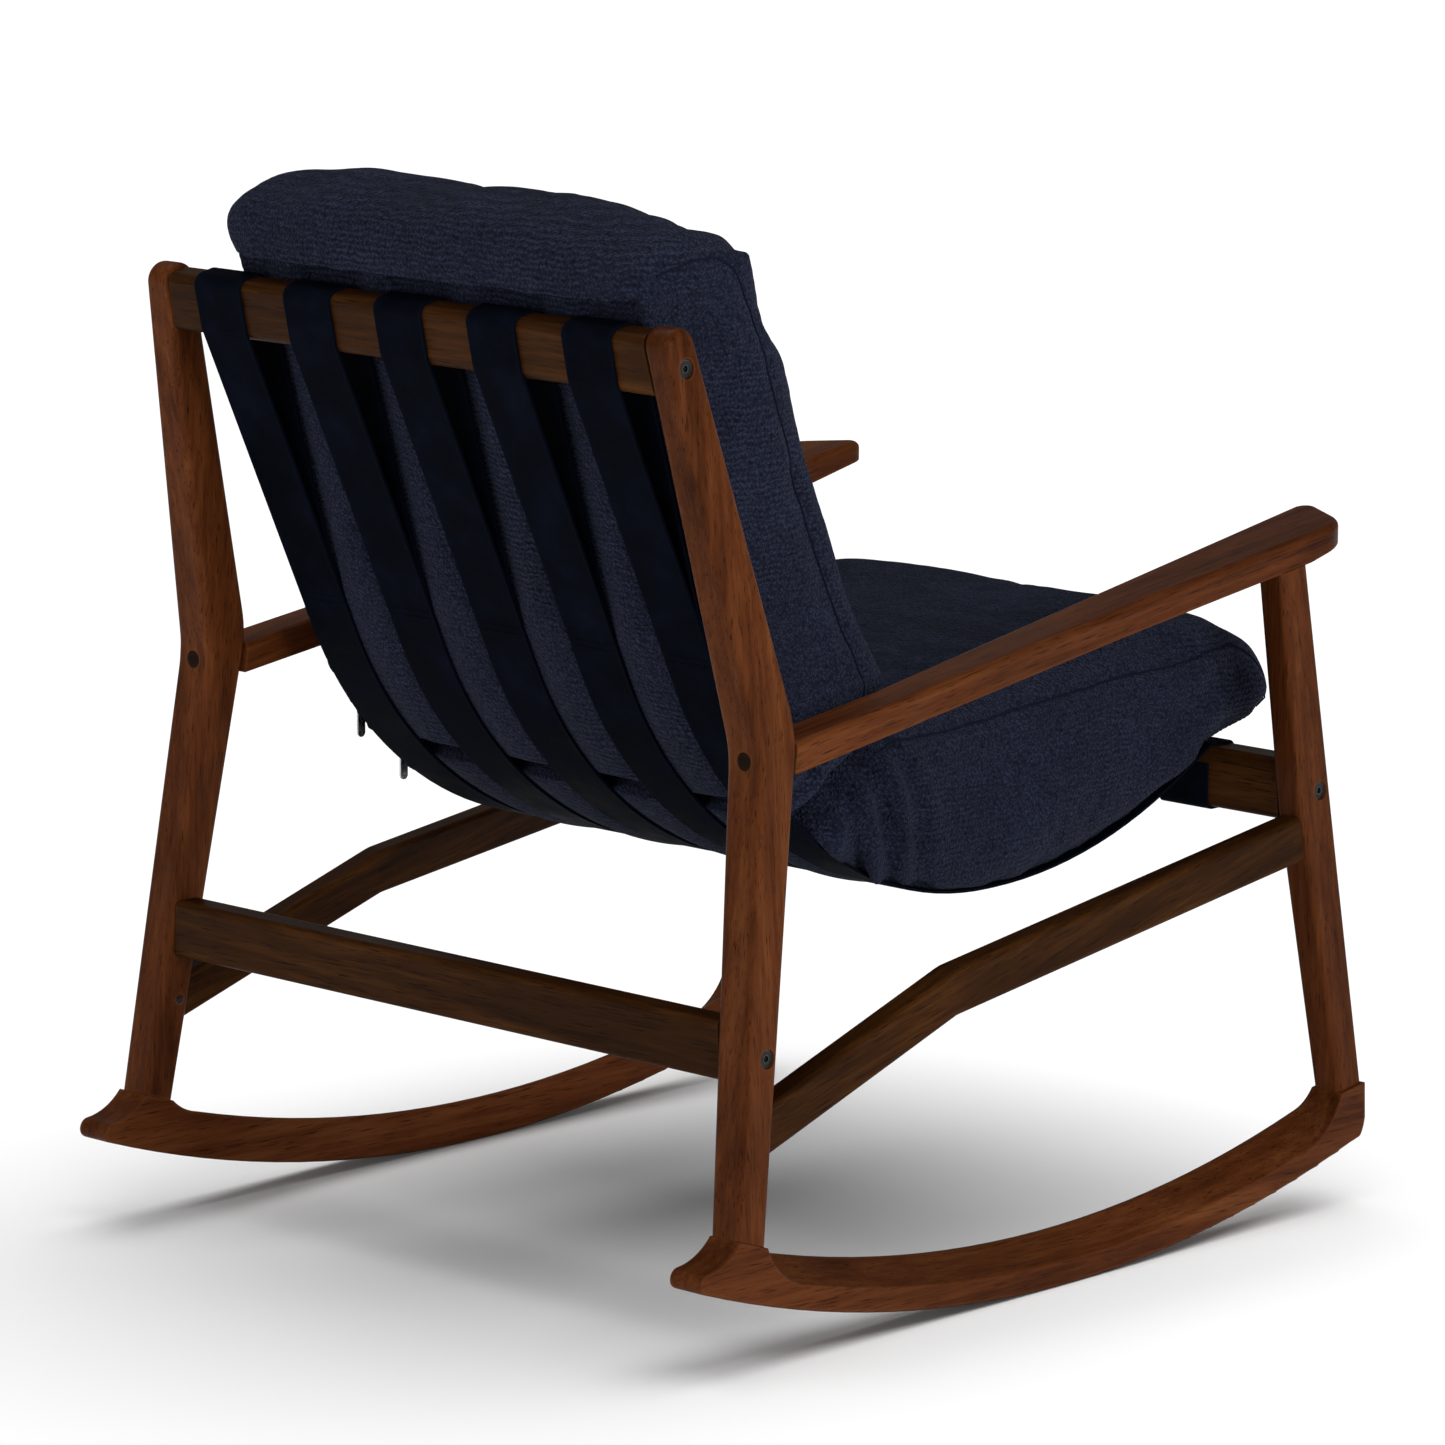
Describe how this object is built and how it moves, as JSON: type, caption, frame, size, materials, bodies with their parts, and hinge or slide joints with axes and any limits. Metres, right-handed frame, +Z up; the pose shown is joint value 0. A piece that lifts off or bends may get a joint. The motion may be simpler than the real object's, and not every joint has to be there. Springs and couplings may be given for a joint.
{
  "type": "rocking chair",
  "caption": "Low rocking chair with slender wooden side frames on curved rockers, paddle armrests, and a folding two-part cushion lying in a sling of webbing straps.",
  "frame": {"origin": "on the floor, under the middle of the chair's overall box", "axes": "+Z up, the chair faces -Y, +X is the sitter's left"},
  "size_m": [0.692, 0.8158, 0.8629],
  "materials": {
    "dark_hardwood": "satin",
    "brown_hardwood": "satin",
    "blackened_steel": "satin",
    "webbing": "matte",
    "cover_cloth": "matte",
    "foam": "matte",
    "zip_tape": "matte",
    "zip_metal": "satin"
  },
  "bodies": {
    "frame": {"rocker_left": "dark_hardwood", "rocker_right": "dark_hardwood", "rear_post_left": "dark_hardwood", "rear_post_right": "dark_hardwood", "front_post_left": "dark_hardwood", "front_post_right": "dark_hardwood", "armrest_left": "dark_hardwood", "armrest_right": "dark_hardwood", "side_stretcher_left": "dark_hardwood", "side_stretcher_right": "dark_hardwood", "top_rail": "brown_hardwood", "rear_stretcher": "brown_hardwood", "front_seat_rail": "brown_hardwood", "rear_post_dowels": "brown_hardwood", "front_post_dowels": "brown_hardwood", "armrest_dowels": "brown_hardwood", "side_stretcher_dowels": "brown_hardwood", "armrest_screw_plugs": "brown_hardwood", "top_rail_bolts": "blackened_steel", "rear_stretcher_bolts": "blackened_steel", "front_rail_bolts": "blackened_steel", "armrest_screws": "blackened_steel", "tenon_screws": "blackened_steel", "top_rail_barrel_nuts": "blackened_steel", "rear_stretcher_barrel_nuts": "blackened_steel", "front_rail_barrel_nuts": "blackened_steel", "strap_1": "webbing", "strap_2": "webbing", "strap_3": "webbing", "strap_4": "webbing", "strap_5": "webbing"},
    "seat_cushion": {"seat_cushion_cover": "cover_cloth", "seat_cushion_foam": "foam", "seat_zip_tape": "zip_tape"},
    "back_cushion": {"back_cushion_cover": "cover_cloth", "back_cushion_foam": "foam", "back_zip_tape": "zip_tape"},
    "seat_slider": {"seat_zip_slider": "zip_metal"},
    "seat_pull": {"seat_zip_pull": "zip_metal"},
    "back_slider": {"back_zip_slider": "zip_metal"},
    "back_pull": {"back_zip_pull": "zip_metal"}
  },
  "joints": [
    {"name": "cushion_lift", "type": "slide", "parent": "frame", "child": "seat_cushion", "axis": [0, 0, 1], "range_m": [0, 0.6]},
    {"name": "back_fold", "type": "hinge", "parent": "seat_cushion", "child": "back_cushion", "pos_m": [0, 0.101, 0.434], "axis": [1, 0, 0], "range_deg": [0, 80]},
    {"name": "seat_zip", "type": "slide", "parent": "seat_cushion", "child": "seat_slider", "axis": [0, -0.9962, 0.0874], "range_m": [0, 0.4]},
    {"name": "seat_pull_swing", "type": "hinge", "parent": "seat_slider", "child": "seat_pull", "pos_m": [0.2431, 0.14252, 0.37148], "axis": [1, 0, 0], "range_deg": [-60, 60]},
    {"name": "back_zip", "type": "slide", "parent": "back_cushion", "child": "back_slider", "axis": [0, 0.3646, 0.9311], "range_m": [0, 0.272]},
    {"name": "back_pull_swing", "type": "hinge", "parent": "back_slider", "child": "back_pull", "pos_m": [0.2431, 0.19001, 0.41312], "axis": [1, 0, 0], "range_deg": [-60, 60]}
  ]
}
